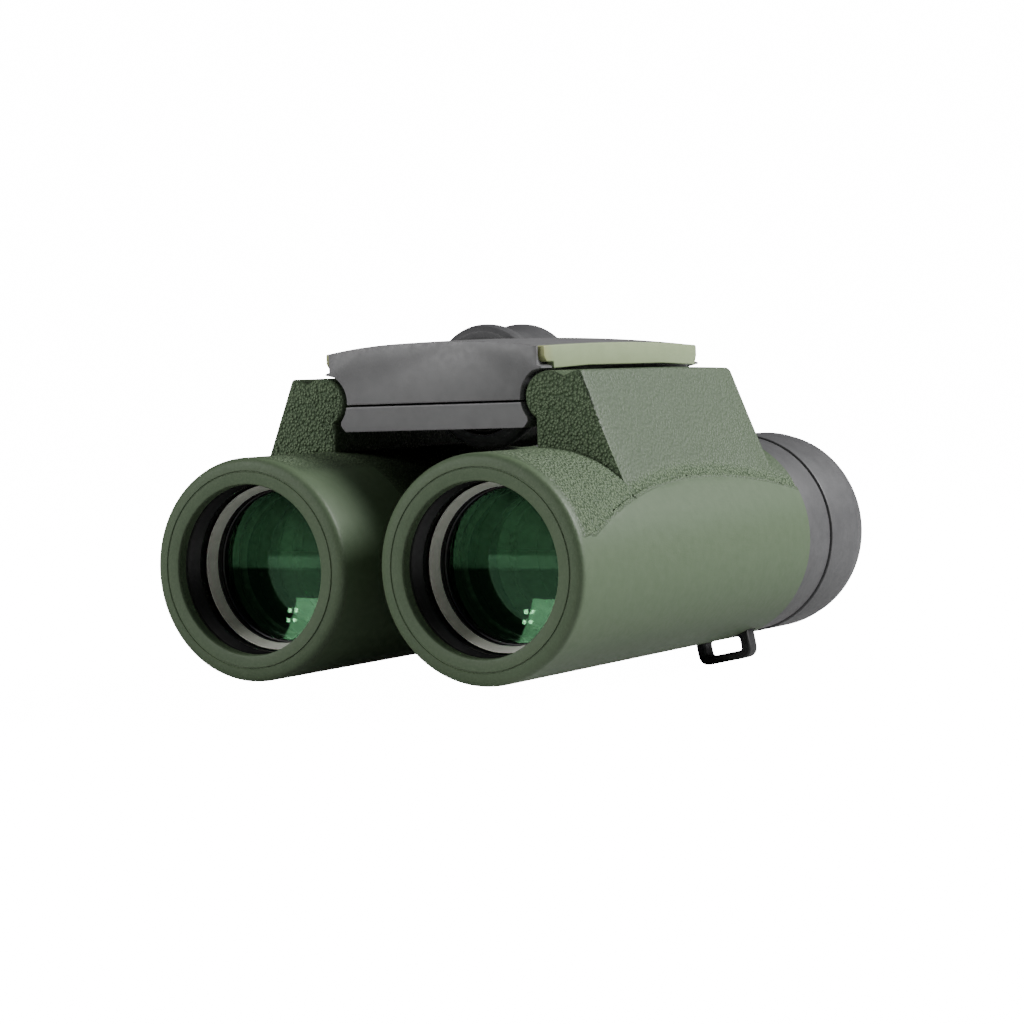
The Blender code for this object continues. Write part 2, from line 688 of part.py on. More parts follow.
frame("bridge")
frame("focus_wheel", 0.0, sum(WHEEL) / 2, WHEEL_HEIGHT)
frame("focus_carriage", 0.0, sum(CARRIAGE) / 2, WHEEL_HEIGHT)
for side_name, side_sign in (("left", 1), ("right", -1)):
    axis_x = side_sign * BARREL_X
    frame(f"{side_name}_barrel", axis_x, BODY_LENGTH / 2, HINGE_HEIGHT)
    frame(f"{side_name}_focus_unit", axis_x, 28.4, 0.0)
    frame(f"{side_name}_eyecup_guide", axis_x, 95.75, 0.0)
    frame(f"{side_name}_eyecup", axis_x, (CUP_START + BODY_LENGTH) / 2, 0.0)
frame("dioptre_ring", -BARREL_X, sum(RING) / 2, 0.0)
frame("right_eyepiece", -BARREL_X, 88.0, 0.0)

make_bridge_frame()
make_top_cover()
make_bottom_cover()
make_screws()
make_wheel()
make_carriage()

for side_name, side_sign in (("left", 1), ("right", -1)):
    barrel = f"{side_name}_barrel"
    make_trim(side_name, side_sign)
    make_pins(side_name, side_sign)
    make_armour(side_name, side_sign, barrel)
    make_chassis(side_name, side_sign, barrel)
    make_strap_lug(side_name, side_sign, barrel)
    make_objective(side_name, side_sign, barrel)
    make_prisms(side_name, side_sign, barrel)
    make_focus_unit(side_name, side_sign, f"{side_name}_focus_unit")
    make_eyecup(side_name, side_sign, f"{side_name}_eyecup_guide", f"{side_name}_eyecup")

make_eyepiece("left", 1, "left_barrel", "left_barrel", "left_eyepiece_ring", "left_barrel")
make_eyepiece("right", -1, "right_barrel", "right_eyepiece", "dioptre_ring", "dioptre_ring")
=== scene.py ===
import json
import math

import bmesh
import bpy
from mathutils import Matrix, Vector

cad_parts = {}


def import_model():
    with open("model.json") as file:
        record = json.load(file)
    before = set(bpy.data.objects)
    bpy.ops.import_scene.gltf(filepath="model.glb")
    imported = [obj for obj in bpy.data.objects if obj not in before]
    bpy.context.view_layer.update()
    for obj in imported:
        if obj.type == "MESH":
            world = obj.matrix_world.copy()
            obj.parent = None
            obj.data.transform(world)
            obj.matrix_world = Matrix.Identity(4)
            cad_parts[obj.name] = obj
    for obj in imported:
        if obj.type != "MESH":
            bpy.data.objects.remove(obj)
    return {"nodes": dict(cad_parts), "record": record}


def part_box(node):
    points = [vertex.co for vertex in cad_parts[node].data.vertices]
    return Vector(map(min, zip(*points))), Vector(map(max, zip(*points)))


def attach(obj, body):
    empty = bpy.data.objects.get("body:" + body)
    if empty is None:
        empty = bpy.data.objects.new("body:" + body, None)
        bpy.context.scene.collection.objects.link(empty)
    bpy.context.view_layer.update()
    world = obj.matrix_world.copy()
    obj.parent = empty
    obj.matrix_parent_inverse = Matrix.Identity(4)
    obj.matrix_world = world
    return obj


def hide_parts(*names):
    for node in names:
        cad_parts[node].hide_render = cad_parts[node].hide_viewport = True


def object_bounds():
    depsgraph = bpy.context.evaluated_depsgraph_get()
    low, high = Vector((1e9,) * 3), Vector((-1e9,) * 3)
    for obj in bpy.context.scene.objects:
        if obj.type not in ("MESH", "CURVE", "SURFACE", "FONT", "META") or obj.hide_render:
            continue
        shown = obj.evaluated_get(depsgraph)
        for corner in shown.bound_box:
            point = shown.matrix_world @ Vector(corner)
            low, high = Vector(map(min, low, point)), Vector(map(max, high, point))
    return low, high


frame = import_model()

# Looks for a compact double-hinge binocular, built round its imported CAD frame.
#
# Shapes are drawn in millimetres. On the bridge a point is (x, station, height):
# x across the binocular, the station measured back from the front rims and the
# height above the barrel axes. A barrel's own pieces are drawn once, for the left
# barrel, as (out, station, up) from that barrel's axis, and mirrored for the right.

cad_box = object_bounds()

MM = 0.001
GAP = 0.3
SIDES = (("left", 1), ("right", -1))

cup_low, cup_high = (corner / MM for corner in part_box("left_eyecup"))
armour_low, armour_high = (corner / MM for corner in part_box("left_armour"))
cover_low, cover_high = (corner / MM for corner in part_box("top_cover"))
wheel_low, wheel_high = (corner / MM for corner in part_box("focus_wheel_grip"))
pin_low, pin_high = (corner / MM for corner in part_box("left_front_hinge_pin"))

# Barrels
BARREL_X = (cup_low.x + cup_high.x) / 2
AXIS_HEIGHT = (cup_low.z + cup_high.z) / 2
FRONT_RIM = armour_low.y
BODY_LENGTH = cup_high.y - FRONT_RIM
BARREL_RADIUS = armour_high.x - BARREL_X
BARREL_END = armour_high.y - FRONT_RIM
ARMOUR_WALL = 1.2
FRONT_OPENING = 13.3
SEAM = (90.9, 91.2)

# Riser, the web that carries each barrel on its hinge
HINGE_HEIGHT = (pin_low.z + pin_high.z) / 2 - AXIS_HEIGHT
KNUCKLE_RADIUS = armour_high.z - AXIS_HEIGHT - HINGE_HEIGHT
RISER = (22.9, 76.0)
RISER_INNER = -2.2
RISER_PLANE = 16.2
RISER_SLOPE = math.radians(21.4)
RISER_EDGE = 0.45
REAR_CORNER = 1.1
REAR_DROP = 0.4
DROP_START = 45.0
NOTCH = ((5.1, 0.0), (2.9, 0.8), (1.3, 0.0))
POCKET = (44.3, 70.0)

# Arch, the crease along which the smooth side panel ends
ARCH_TOP = 42.8
ARCH_STATION = 47.0
ARCH_BAND = 8.5
ARCH_LEDGE = 0.7
ARCH_DEPTH = 0.4
ARCH_FRONT_FALL = (0.0121, 2.056)
ARCH_REAR_FALL = (0.0143, 1.95)

# Bridge
BRIDGE = (cover_low.y - FRONT_RIM, cover_high.y - FRONT_RIM)
COVER_HALF_WIDTH = 19.2
COVER_WALL = 1.4
TOP_MIDDLE = 34.5
TOP_CORNER = 33.2
CROWN = 0.42
REAR_FALL = 0.26
LIP_X = 19.9
SCALLOP_RADIUS = 4.7
SEAM_TOP = 24.9
SEAM_BOTTOM = 24.6
UNDERSIDE = 20.6
TRIM = (23.3, 77.0)
SCREWS = ((-8.0, 34.8), (8.0, 34.8), (-8.0, 73.0), (8.0, 73.0))

# Focus wheel
WHEEL = (wheel_low.y - FRONT_RIM, wheel_high.y - FRONT_RIM)
WHEEL_RADIUS = (wheel_high.x - wheel_low.x) / 2
WHEEL_HEIGHT = (wheel_low.z + wheel_high.z) / 2 - AXIS_HEIGHT

FINE = 144
COARSE = 72


# ---------------------------------------------------------------- placing

def world(point):
    x, station, height = point
    return Vector((x, station + FRONT_RIM, height + AXIS_HEIGHT)) * MM


def mesh_of(shape, on_barrel=False):
    """A bridge or left-barrel shape as a mesh in the frame's metres, its faces outwards."""
    bmesh.ops.recalc_face_normals(shape, faces=shape.faces)
    shift = Vector((BARREL_X if on_barrel else 0.0, 0.0, 0.0))
    for vertex in shape.verts:
        vertex.co = world(vertex.co + shift)
    mesh = bpy.data.meshes.new("shape")
    shape.to_mesh(mesh)
    shape.free()
    return mesh


def cut_away(mesh, tools):
    """The mesh with the tool meshes cut out of it."""
    body = bpy.data.objects.new("blank", mesh)
    bpy.context.scene.collection.objects.link(body)
    cutters = []
    for tool in tools:
        cutter = bpy.data.objects.new("cutter", tool)
        bpy.context.scene.collection.objects.link(cutter)
        boolean = body.modifiers.new("cut", "BOOLEAN")
        boolean.operation = "DIFFERENCE"
        boolean.solver = "EXACT"
        boolean.object = cutter
        cutters.append(cutter)
    solid = bpy.data.meshes.new_from_object(body.evaluated_get(bpy.context.evaluated_depsgraph_get()))
    for spent in [body] + cutters:
        bpy.data.objects.remove(spent)
    return solid


def show(name, mesh, finishes, body, nodes, sharp_angle=35.0):
    """Put a mesh in the scene as a piece that stands for CAD nodes."""
    mesh.name = name
    mesh.shade_smooth()
    mesh.set_sharp_from_angle(angle=math.radians(sharp_angle))
    mesh.materials.clear()
    for finish in finishes:
        mesh.materials.append(FINISHES[finish])
    piece = bpy.data.objects.new(name, mesh)
    bpy.context.scene.collection.objects.link(piece)
    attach(piece, body)
    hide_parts(*nodes)
    return piece


def mirrored(mesh):
    copy = mesh.copy()
    copy.transform(Matrix.Scale(-1.0, 4, (1.0, 0.0, 0.0)))
    copy.flip_normals()
    return copy


def show_pair(name, left_mesh, finishes, bodies, node, sharp_angle=35.0):
    """The same piece on both barrels. {side} in a body or node is left or right."""
    pieces = []
    for side, sign in SIDES:
        mesh = left_mesh if sign > 0 else mirrored(left_mesh)
        body = bodies[side] if isinstance(bodies, dict) else bodies.format(side=side)
        names = node[side] if isinstance(node, dict) else node.format(side=side)
        pieces.append(show(f"{side}_{name}", mesh, finishes, body, [names], sharp_angle))
    return pieces


def ease_edges(pieces, width):
    for piece in pieces:
        bevel = piece.modifiers.new("eased edges", "BEVEL")
        bevel.width = width * MM
        bevel.segments = 2
        bevel.limit_method = "ANGLE"
        bevel.angle_limit = math.radians(40.0)


# ---------------------------------------------------------------- shape helpers

def smooth_step(low, high, value):
    share = min(max((value - low) / (high - low), 0.0), 1.0)
    return share * share * (3 - 2 * share)


def polar(radius, degrees):
    angle = math.radians(degrees)
    return radius * math.cos(angle), radius * math.sin(angle)


def spread(start, end, steps):
    return [start + (end - start) * step / steps for step in range(steps + 1)]


def arc(centre, radius, start, end, steps):
    turned_points = [polar(radius, angle) for angle in spread(start, end, steps)]
    return [(centre[0] + across, centre[1] + up) for across, up in turned_points]


def rounded(corners, steps=4, closed=True):
    """Points of an outline; a corner given as (a, b, r) is eased to about radius r."""
    points = []
    for number, corner in enumerate(corners):
        here = Vector(corner[:2])
        at_end = not closed and number in (0, len(corners) - 1)
        if len(corner) < 3 or at_end:
            points.append(tuple(here))
            continue
        before = Vector(corners[number - 1][:2]) - here
        after = Vector(corners[(number + 1) % len(corners)][:2]) - here
        reach = corner[2] / math.tan(before.angle(after) / 2)
        reach = min(reach, before.length * 0.49, after.length * 0.49)
        start, end = here + before.normalized() * reach, here + after.normalized() * reach
        for share in spread(0.0, 1.0, steps):
            points.append(tuple(start.lerp(here, share).lerp(here.lerp(end, share), share)))
    return points


def turned(profile, segments=FINE, closed=True):
    """Spin (radius, station) points about the barrel's axis."""
    shape = bmesh.new()
    points = [shape.verts.new((radius, station, 0.0)) for radius, station in profile]
    edges = [shape.edges.new(pair) for pair in zip(points, points[1:])]
    if closed:
        edges.append(shape.edges.new((points[-1], points[0])))
    bmesh.ops.spin(
        shape, geom=points + edges, cent=(0, 0, 0), axis=(0, 1, 0), dvec=(0, 0, 0),
        angle=2 * math.pi, steps=segments, use_merge=True, use_duplicate=False)
    bmesh.ops.remove_doubles(shape, verts=shape.verts, dist=0.0005)
    return shape


def moved(shape, x=0.0, station=0.0, height=0.0):
    bmesh.ops.translate(shape, verts=shape.verts, vec=(x, station, height))
    return shape


def drawn_out(shape, corners, travel):
    """Give a flat outline depth along travel."""
    face = shape.faces.new([shape.verts.new(corner) for corner in corners])
    grown = bmesh.ops.extrude_face_region(shape, geom=[face])
    far_end = [item for item in grown["geom"] if isinstance(item, bmesh.types.BMVert)]
    bmesh.ops.translate(shape, verts=far_end, vec=travel)
    return shape


def extruded(outline, front, back):
    """An (x, height) outline given depth along the stations."""
    corners = [(x, front, height) for x, height in outline]
    return drawn_out(bmesh.new(), corners, (0, back - front, 0))


def side_profile(outline, inner_x, outer_x):
    """A (station, height) outline given thickness across the bridge."""
    corners = [(inner_x, station, height) for station, height in outline]
    return drawn_out(bmesh.new(), corners, (outer_x - inner_x, 0, 0))


def block(x_span, y_span, z_span):
    shape = bmesh.new()
    bmesh.ops.create_cube(shape, size=1.0)
    spans = (x_span, y_span, z_span)
    size = Vector([high - low for low, high in spans])
    centre = Vector([(high + low) / 2 for low, high in spans])
    bmesh.ops.scale(shape, vec=size, verts=shape.verts)
    bmesh.ops.translate(shape, vec=centre, verts=shape.verts)
    return shape


def bevel_where(shape, chosen, width, segments):
    """Round the edges that chosen picks, and return the new faces."""
    edges = [edge for edge in shape.edges if chosen(edge)]
    result = bmesh.ops.bevel(
        shape, geom=edges, offset=width, offset_type="OFFSET", segments=segments,
        profile=0.5, affect="EDGES", material=-1, clamp_overlap=True)
    return result["faces"]


# ---------------------------------------------------------------- finishes

FINISHES = {}
# Grain level of the riser's satin faces; from this level up, the green rubber's colour is painted darker,
# as shade.
SHADED_SATIN_GRAIN = 0.22
PEBBLES_PER_METRE = 2100.0


def node(tree, kind, inputs=None, **settings):
    made = tree.nodes.new("ShaderNode" + kind)
    for key, value in settings.items():
        setattr(made, key, value)
    for key, value in (inputs or {}).items():
        if isinstance(value, bpy.types.NodeSocket):
            tree.links.new(value, made.inputs[key])
        else:
            made.inputs[key].default_value = value
    return made


def noise(tree, size, detail=2.0, stretch=(1.0, 1.0, 1.0)):
    """Noise whose features are about size millimetres across."""
    place = node(tree, "TexCoord").outputs["Object"]
    mapping = node(tree, "Mapping", {"Vector": place, "Scale": stretch})
    texture = node(tree, "TexNoise", {
        "Vector": mapping.outputs["Vector"], "Scale": 1.0 / (size * MM), "Detail": detail})
    return texture.outputs["Fac"]


def tinted(tree, share, dark, light, low=0.3, high=0.7):
    """A colour between dark and light as share goes from low to high."""
    spread_out = node(tree, "MapRange", {"Value": share, "From Min": low, "From Max": high})
    mix = node(tree, "Mix", {0: spread_out.outputs["Result"], 6: (*dark, 1.0), 7: (*light, 1.0)},
               data_type="RGBA")
    return mix.outputs[2]


def ranged(tree, share, low, high):
    span = node(tree, "MapRange", {"Value": share, "From Min": 0.3, "From Max": 0.7,
                                   "To Min": low, "To Max": high})
    return span.outputs["Result"]


def relief(tree, height, depth, under=None):
    """A bump of depth millimetres, on top of another bump if one is given."""
    inputs = {"Height": height, "Distance": depth * MM, "Strength": 1.0}
    if under is not None:
        inputs["Normal"] = under
    return node(tree, "Bump", inputs).outputs["Normal"]


def new_finish(slot_name, **sockets):
    """A Principled material; sockets hold the values that are the same all over."""
    material = bpy.data.materials.new(slot_name + "_finish")
    material.use_nodes = True
    shader = material.node_tree.nodes["Principled BSDF"]
    for key, value in sockets.items():
        shader.inputs[key.replace("_", " ")].default_value = value
    FINISHES[slot_name] = material
    return material.node_tree, shader


def join_up(tree, shader, colour, roughness, normal=None):
    tree.links.new(colour, shader.inputs["Base Color"])
    tree.links.new(roughness, shader.inputs["Roughness"])
    if normal is not None:
        tree.links.new(normal, shader.inputs["Normal"])


def make_moulded(slot_name, dark, light, roughness, grain=0.10, depth=0.010):
    """Moulded plastic or rubber: faint mottling, uneven gloss and a fine spark grain."""
    tree, shader = new_finish(slot_name)
    colour = tinted(tree, noise(tree, 2.5), dark, light)
    gloss = ranged(tree, noise(tree, 1.0), *roughness)
    join_up(tree, shader, colour, gloss, relief(tree, noise(tree, grain), depth))


def make_turned(slot_name, dark, light, roughness):
    """Metal off a lathe: fine marks that run round the barrel's axis."""
    tree, shader = new_finish(slot_name, Metallic=1.0)
    marks = noise(tree, 0.09, detail=3.0, stretch=(0.03, 1.0, 0.03))
    colour = tinted(tree, noise(tree, 1.2), dark, light)
    join_up(tree, shader, colour, ranged(tree, marks, *roughness), relief(tree, marks, 0.004))


def make_green_rubber():
    """Rubber whose grain attribute goes from smooth, through satin painted darker as shade, to pebbled; the
    pebbles are painted lighter on their tops as highlight and darker between them as shade.
    """
    tree, shader = new_finish("green_rubber", Specular_IOR_Level=0.4)
    grain = node(tree, "Attribute", attribute_name="grain").outputs["Fac"]
    place = node(tree, "TexCoord").outputs["Object"]
    cells = node(tree, "TexVoronoi", {"Vector": place, "Scale": PEBBLES_PER_METRE})
    pebbles = node(tree, "Math", {0: 1.0, 1: cells.outputs["Distance"]}, operation="SUBTRACT").outputs[0]
    speckle = noise(tree, 0.16, detail=1.0)
    panel_colour = tinted(tree, noise(tree, 1.6, detail=3.0), (0.080, 0.119, 0.064), (0.090, 0.131, 0.073))
    # The darker of these two colours is the same rubber painted darker: painted shade on the riser's satin
    # faces.
    satin_shade_colour = tinted(tree, noise(tree, 0.7, detail=3.0), (0.050, 0.075, 0.040), (0.058, 0.086, 0.047))
    satin_shade_share = node(tree, "MapRange", {"Value": grain, "From Max": SHADED_SATIN_GRAIN}).outputs["Result"]
    smooth = node(tree, "Mix", {0: satin_shade_share, 6: panel_colour, 7: satin_shade_colour}, data_type="RGBA")
    # Painted highlight on the pebble tops and painted shade in the grooves between them, following the same
    # pebbles as the bump.
    pebble_highlight_and_shade_colour = tinted(tree, pebbles, (0.070, 0.108, 0.057), (0.205, 0.275, 0.165), 0.35, 0.85)
    share = node(tree, "Math", {0: grain, 1: 0.80}, operation="MULTIPLY").outputs[0]
    colour = node(tree, "Mix", {0: share, 6: smooth.outputs[2], 7: pebble_highlight_and_shade_colour}, data_type="RGBA")
    fine = relief(tree, speckle, 0.012)
    coarse_height = node(tree, "Math", {0: pebbles, 1: grain}, operation="MULTIPLY").outputs[0]
    normal = relief(tree, coarse_height, 0.5, under=fine)
    join_up(tree, shader, colour.outputs[2], ranged(tree, noise(tree, 0.8), 0.50, 0.58), normal)


def make_pale_trim():
    """Pale green moulding, a little yellower at its front end."""
    tree, shader = new_finish("pale_trim", Specular_IOR_Level=0.45)
    place = node(tree, "TexCoord").outputs["Object"]
    along = node(tree, "SeparateXYZ", {0: place}).outputs["Y"]
    front = world((0, TRIM[0], 0)).y
    tip = node(tree, "MapRange", {"Value": along, "From Min": front + 3.2 * MM, "From Max": front,
                                  "To Min": 0.0, "To Max": 0.8}).outputs["Result"]
    plain = tinted(tree, noise(tree, 3.0), (0.290, 0.360, 0.205), (0.315, 0.390, 0.225))
    colour = node(tree, "Mix", {0: tip, 6: plain, 7: (0.32, 0.33, 0.14, 1.0)}, data_type="RGBA")
    join_up(tree, shader, colour.outputs[2], ranged(tree, noise(tree, 1.0), 0.36, 0.46),
            relief(tree, noise(tree, 0.12), 0.004))


def make_glass(slot_name, tint, reflection, roughness, ior):
    """Polished glass with a faint bloom in its coating."""
    tree, shader = new_finish(slot_name, IOR=ior, Transmission_Weight=1.0)
    shader.inputs["Specular Tint"].default_value = (*reflection, 1.0)
    colour = tinted(tree, noise(tree, 9.0, detail=1.0), [part * 0.94 for part in tint], tint)
    join_up(tree, shader, colour, ranged(tree, noise(tree, 5.0), *roughness))


make_green_rubber()
make_moulded("grey_shell", (0.148, 0.147, 0.151), (0.166, 0.165, 0.169), (0.40, 0.50),
             grain=0.14, depth=0.012)
make_moulded("shadow_edge", (0.020, 0.020, 0.021), (0.028, 0.028, 0.030), (0.45, 0.55))
make_pale_trim()
make_moulded("black_plastic", (0.010, 0.010, 0.011), (0.017, 0.017, 0.018), (0.42, 0.55),
             grain=0.16, depth=0.014)
make_moulded("dark_rubber", (0.072, 0.072, 0.075), (0.086, 0.086, 0.089), (0.44, 0.54),
             grain=0.15, depth=0.014)
make_moulded("bare_aluminium", (0.60, 0.62, 0.54), (0.68, 0.70, 0.62), (0.40, 0.52), depth=0.003)
make_moulded("black_aluminium", (0.002, 0.002, 0.002), (0.004, 0.004, 0.004), (0.38, 0.50),
             grain=0.08, depth=0.005)
make_turned("steel", (0.44, 0.44, 0.45), (0.58, 0.58, 0.59), (0.26, 0.40))
make_glass("coated_glass", (0.56, 0.72, 0.58), (0.40, 1.0, 0.54), (0.0, 0.04), 1.62)
make_glass("prism_glass", (0.74, 0.84, 0.75), (0.55, 1.0, 0.66), (0.0, 0.02), 1.55)


# ---------------------------------------------------------------- armour

OUTER_STEPS = 50
BAND_STEPS = 8
INNER_STEPS = 58
# The rims' grain level, which also mixes a little of the painted shade into their colour.
RIM_GRAIN = 0.05
PEBBLE_FADE = (100, 125)


def crease_angle(station):
    """Height of the arch's crease round the barrel, in degrees above straight out."""
    rate, power = ARCH_FRONT_FALL if station < ARCH_STATION else ARCH_REAR_FALL
    return ARCH_TOP - rate * abs(station - ARCH_STATION) ** power


def soft_max(first, second, blend):
    overlap = max(blend - abs(first - second), 0.0) / blend
    return max(first, second) + overlap * overlap * blend / 4


def skin_radius(angle, station, inset, on_riser):
    """Radius of the barrel's skin, with the hollow just above the crease."""
    base = BARREL_RADIUS
    if on_riser and angle > 30:
        wall = (RISER_PLANE - inset) / math.cos(math.radians(angle) - RISER_SLOPE)
        fillet = smooth_step(RISER[0], RISER[0] + 4, station) * smooth_step(RISER[1], RISER[1] - 4, station)
        base = soft_max(base, wall, 0.001 + 1.6 * fillet)
    above = angle - crease_angle(station)
    if above <= 0:
        return base
    depth = ARCH_DEPTH * smooth_step(5.0, 13.0, station) * (1 - 0.5 * smooth_step(77.0, 81.6, station))
    return base - depth * (1 - smooth_step(ARCH_LEDGE, ARCH_BAND, above))


def riser_path(start, inset, drop):
    """From the end of the arch's band up the riser, over its notched top and knuckle."""
    top = HINGE_HEIGHT + KNUCKLE_RADIUS - inset - drop
    corner = (RISER_PLANE - inset - top * math.sin(RISER_SLOPE)) / math.cos(RISER_SLOPE)
    side_steps = 12
    foot = Vector(start)
    shoulder = Vector((corner, top))
    side = [tuple(foot.lerp(shoulder, step / side_steps)) for step in range(1, side_steps)]
    outline = [side[-1], (corner, top, 0.6)]
    outline += [(min(out, corner - 0.4), top - depth, 0.25) for out, depth in NOTCH]
    outline.append((0.0, top))
    path = side[:-1] + rounded(outline, steps=3, closed=False)[:-1]
    radius, inner = KNUCKLE_RADIUS - inset, RISER_INNER + inset
    meet = 360 - math.degrees(math.acos(inner / radius))
    for out, up in arc((0.0, 0.0), radius, 90, meet, 26):
        lowered = up * (1 - drop / radius) if up > 0 else up
        path.append((out, HINGE_HEIGHT + lowered))
    wall_top = path[-1][1]
    wall_foot = math.sqrt(BARREL_RADIUS ** 2 - inner ** 2)
    path += [(inner, height) for height in spread(wall_top, wall_foot, 7)[1:-1]]
    return path


PATH_POINTS = len(riser_path((12.0, 13.0), 0.0, 0.0))


def armour_ring(station, inset=0.0, on_riser=False, drop=0.0):
    """(out, up) points once round the armour, from the bottom and up the outer side."""
    crease = crease_angle(station)
    inner_foot = math.degrees(math.acos((RISER_INNER + inset) / BARREL_RADIUS))
    angles = spread(-90, crease, OUTER_STEPS)
    angles += spread(crease + ARCH_LEDGE, crease + ARCH_BAND, BAND_STEPS - 1)
    points = [polar(skin_radius(angle, station, inset, on_riser), angle) for angle in angles]
    if on_riser:
        points += riser_path(points[-1], inset, drop)
    else:
        points += arc((0, 0), BARREL_RADIUS, crease + ARCH_BAND, inner_foot, PATH_POINTS + 1)[1:-1]
    points += arc((0, 0), BARREL_RADIUS, inner_foot, 270, INNER_STEPS)[:-1]
    return points


def plain_ring(radius):
    """The same number of points on a circle, turned the same way."""
    return [polar(radius, math.degrees(math.atan2(up, out))) for out, up in armour_ring(2.0)]


def rear_drop(station):
    """The riser's top falls a little towards the rear."""
    return REAR_DROP * max((station - DROP_START) / (RISER[1] - DROP_START), 0.0) ** 2


def grain_at(station, out, up, on_riser):
    """How strongly the skin is pebbled, from 0 to 1; from the satin level up, the rubber is also painted
    darker, as shade.
    """
    angle = math.degrees(math.atan2(up, out))
    above = angle - crease_angle(max(station, 5.0))
    if up > BARREL_RADIUS + 0.5 or (on_riser and above > ARCH_BAND):
        return SHADED_SATIN_GRAIN
    if angle < -90 or angle > PEBBLE_FADE[1] or above < -0.1:
        return 0.0
    if station <= RISER[0]:
        return smooth_step(1.0, 4.0, station) * (1 - smooth_step(*PEBBLE_FADE, angle))
    return SHADED_SATIN_GRAIN + (1 - SHADED_SATIN_GRAIN) * (1 - smooth_step(0.3 * ARCH_BAND, ARCH_BAND, above))


class Sleeve:
    """A tube drawn out ring by ring, each ring with the same number of points."""

    def __init__(self, points, station):
        self.shape = bmesh.new()
        self.grain = self.shape.verts.layers.float.new("grain")
        self.ring = [self.shape.verts.new((out, station, up)) for out, up in points]
        for vertex, following in zip(self.ring, self.ring[1:] + self.ring[:1]):
            self.shape.edges.new((vertex, following))

    def loop(self):
        pairs = zip(self.ring, self.ring[1:] + self.ring[:1])
        return [self.shape.edges.get(pair) for pair in pairs]

    def draw(self, points, stations, grains):
        """Extrude the open end to new points."""
        grown = bmesh.ops.extrude_edge_only(self.shape, edges=self.loop())["geom"]
        fresh = {item for item in grown if isinstance(item, bmesh.types.BMVert)}
        following = []
        for vertex in self.ring:
            following.append(next(edge.other_vert(vertex) for edge in vertex.link_edges
                                  if edge.other_vert(vertex) in fresh))
        for vertex, (out, up), station, grain in zip(following, points, stations, grains):
            vertex.co = (out, station, up)
            vertex[self.grain] = grain
        before, self.ring = self.ring, following
        return before

    def step_wall(self, points, station, grain=1.0):
        """Change outline within one station, and close the flat wall between the two."""
        before = self.draw(points, [station] * len(points), [grain] * len(points))
        parted = [index for index, (old, new) in enumerate(zip(before, self.ring))
                  if (old.co - new.co).length > 0.0005]
        inside = set(parted)
        ties = [self.shape.edges.get((before[index], self.ring[index])) for index in parted]
        bmesh.ops.delete(self.shape, geom=ties, context="EDGES")
        weld = {}
        for index, (old, new) in enumerate(zip(before, self.ring)):
            if index not in inside:
                weld[new] = old
        bmesh.ops.weld_verts(self.shape, targetmap=weld)
        self.ring = [old if index not in inside else new
                     for index, (old, new) in enumerate(zip(before, self.ring))]
        first, last = parted[0] - 1, parted[-1] + 1
        rim = []
        for chain in (before, self.ring):
            for index in range(first, last):
                rim.append(self.shape.edges.get((chain[index], chain[index + 1])))
        bmesh.ops.contextual_create(self.shape, geom=rim)


def armour_shape():
    """Rubber skin of the left barrel, closed round its wall."""
    bore = BARREL_RADIUS - ARMOUR_WALL
    lip = [(FRONT_OPENING, 2.0), (FRONT_OPENING, 0.3), (FRONT_OPENING + 0.12, 0.08),
           (FRONT_OPENING + 0.35, 0.0), (15.2, 0.0), (15.28, 0.18), (15.4, 0.18), (15.5, 0.01),
           (15.9, 0.03), (16.3, 0.08), (16.65, 0.16), (16.95, 0.28), (17.2, 0.45), (17.36, 0.66),
           (17.46, 0.95)]
    sleeve = Sleeve(plain_ring(bore), 2.0)
    count = len(sleeve.ring)
    for radius, station in lip:
        sleeve.draw(plain_ring(radius), [station] * count, [RIM_GRAIN] * count)

    def skin(station, **options):
        points = armour_ring(station, **options)
        grains = [grain_at(station, out, up, options.get("on_riser", False)) for out, up in points]
        sleeve.draw(points, [station] * count, grains)

    for station in (1.4, 2.0, 3.0, 4.2, 5.6, 7.0, 8.4, 9.8, 11.2, 12.8, 14.4, 16.0, 17.8, 19.6, 21.4):
        skin(station)
    front, back = RISER
    skin(front, inset=RISER_EDGE)
    sleeve.step_wall(armour_ring(front, inset=RISER_EDGE, on_riser=True), front)
    edge_steps = ((0.29, 0.71), (0.08, 0.42))
    for inset, along in edge_steps:
        skin(front + RISER_EDGE * (1 - along), inset=RISER_EDGE * inset, on_riser=True)
    skin(front + RISER_EDGE, on_riser=True)
    for station in spread(25.0, 73.0, 22):
        skin(station, on_riser=True, drop=rear_drop(station))
    corner_start = back - REAR_CORNER

    def corner_drop(station):
        reach = station - corner_start
        return rear_drop(station) + REAR_CORNER - math.sqrt(REAR_CORNER ** 2 - reach ** 2)

    for station in spread(corner_start, back - RISER_EDGE, 4):
        skin(station, on_riser=True, drop=corner_drop(station))
    for inset, along in reversed(edge_steps):
        station = back - RISER_EDGE * (1 - along)
        lowered = corner_drop(station) - RISER_EDGE * inset
        skin(station, inset=RISER_EDGE * inset, on_riser=True, drop=lowered)
    skin(back, inset=RISER_EDGE, on_riser=True, drop=rear_drop(back) + REAR_CORNER - RISER_EDGE)
    sleeve.step_wall(armour_ring(back, inset=RISER_EDGE), back)
    for station in (77.0, 78.2, 79.4, 80.6, BARREL_END - 0.3):
        skin(station)
    end = armour_ring(BARREL_END)
    eased = [(out * 0.985, up * 0.985) for out, up in end]
    sleeve.draw(eased, [BARREL_END] * count, [RIM_GRAIN] * count)
    sleeve.draw(plain_ring(bore), [BARREL_END] * count, [0.0] * count)
    sleeve.draw(plain_ring(bore), [2.0] * count, [0.0] * count)
    bmesh.ops.remove_doubles(sleeve.shape, verts=sleeve.shape.verts, dist=0.0004)
    return sleeve.shape


